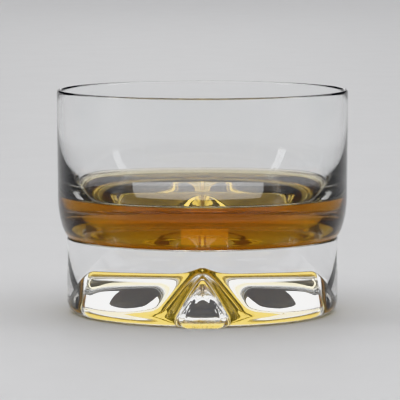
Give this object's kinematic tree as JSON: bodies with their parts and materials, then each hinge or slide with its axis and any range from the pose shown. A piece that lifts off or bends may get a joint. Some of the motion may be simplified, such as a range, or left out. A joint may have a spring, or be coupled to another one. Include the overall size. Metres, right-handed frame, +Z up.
{
  "type": "whiskey tumbler",
  "caption": "Heavy-based round whiskey tumbler: thin straight-sided glass bowl on a narrower solid foot with a cross of roof-shaped grooves pressed under it, holding a measure of whiskey",
  "frame": {"origin": "on the table, under the middle of the foot", "axes": "+Z up along the tumbler's axis; +X and +Y along the two arms of the relief under the foot; the front that is usually shown faces -Y"},
  "size_m": [0.096, 0.096, 0.0734],
  "materials": {
    "crystal": "fire-polished",
    "foot_crystal": "pressed and polished",
    "whiskey": "liquid"
  },
  "bodies": {
    "root": {"bowl": "crystal", "foot": "foot_crystal", "whiskey": "whiskey"}
  },
  "joints": []
}
